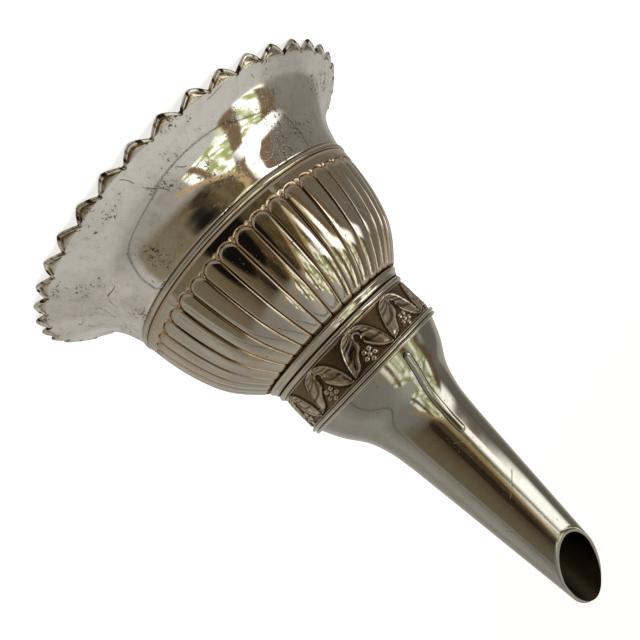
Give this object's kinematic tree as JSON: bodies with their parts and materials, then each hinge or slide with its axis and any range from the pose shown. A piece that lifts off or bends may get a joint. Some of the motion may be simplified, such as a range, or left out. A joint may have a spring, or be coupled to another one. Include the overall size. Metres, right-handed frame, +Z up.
{
  "type": "wine funnel",
  "caption": "Two-part plated metal wine funnel: a flared, reeded bowl with a scalloped rim and strainer, and a lift-off tapered spout with a slanted tip.",
  "frame": {"origin": "centre of the plane that the scalloped rim rests on when the funnel stands mouth down", "axes": "+Z up the funnel's axis, from the mouth to the spout's tip"},
  "size_m": [0.1052, 0.1052, 0.1514],
  "materials": {
    "polished_plate": "polished silver plate with light pitting and fine scratches",
    "reeded_plate": "polished reeds with dark tarnish in the valleys",
    "cast_border": "cast scalloped border, worn bright on the tips and brown in the notches",
    "bead_wire": "polished wire with dark lines along its edges",
    "inside_plate": "duller plate inside the bowl and joint",
    "tarnished_plate": "stamped relief with brown tarnish in its recesses"
  },
  "bodies": {
    "bowl": {"rim_border": "cast_border", "flared_bell": "polished_plate", "bowl_bead": "bead_wire", "reeded_body": "reeded_plate", "bowl_collar": "bead_wire", "strainer_plate": "inside_plate", "spigot_sleeve": "inside_plate"},
    "spout": {"spout_tube": "polished_plate", "socket_ring": "tarnished_plate", "vine_band": "tarnished_plate", "band_foot_ring_1": "tarnished_plate", "band_foot_ring_2": "tarnished_plate", "vent_rib_1": "polished_plate", "vent_rib_2": "polished_plate"}
  },
  "joints": [
    {"name": "spout_pull", "type": "slide", "parent": "bowl", "child": "spout", "axis": [0, 0, 1], "range_m": [0, 0.025]}
  ]
}
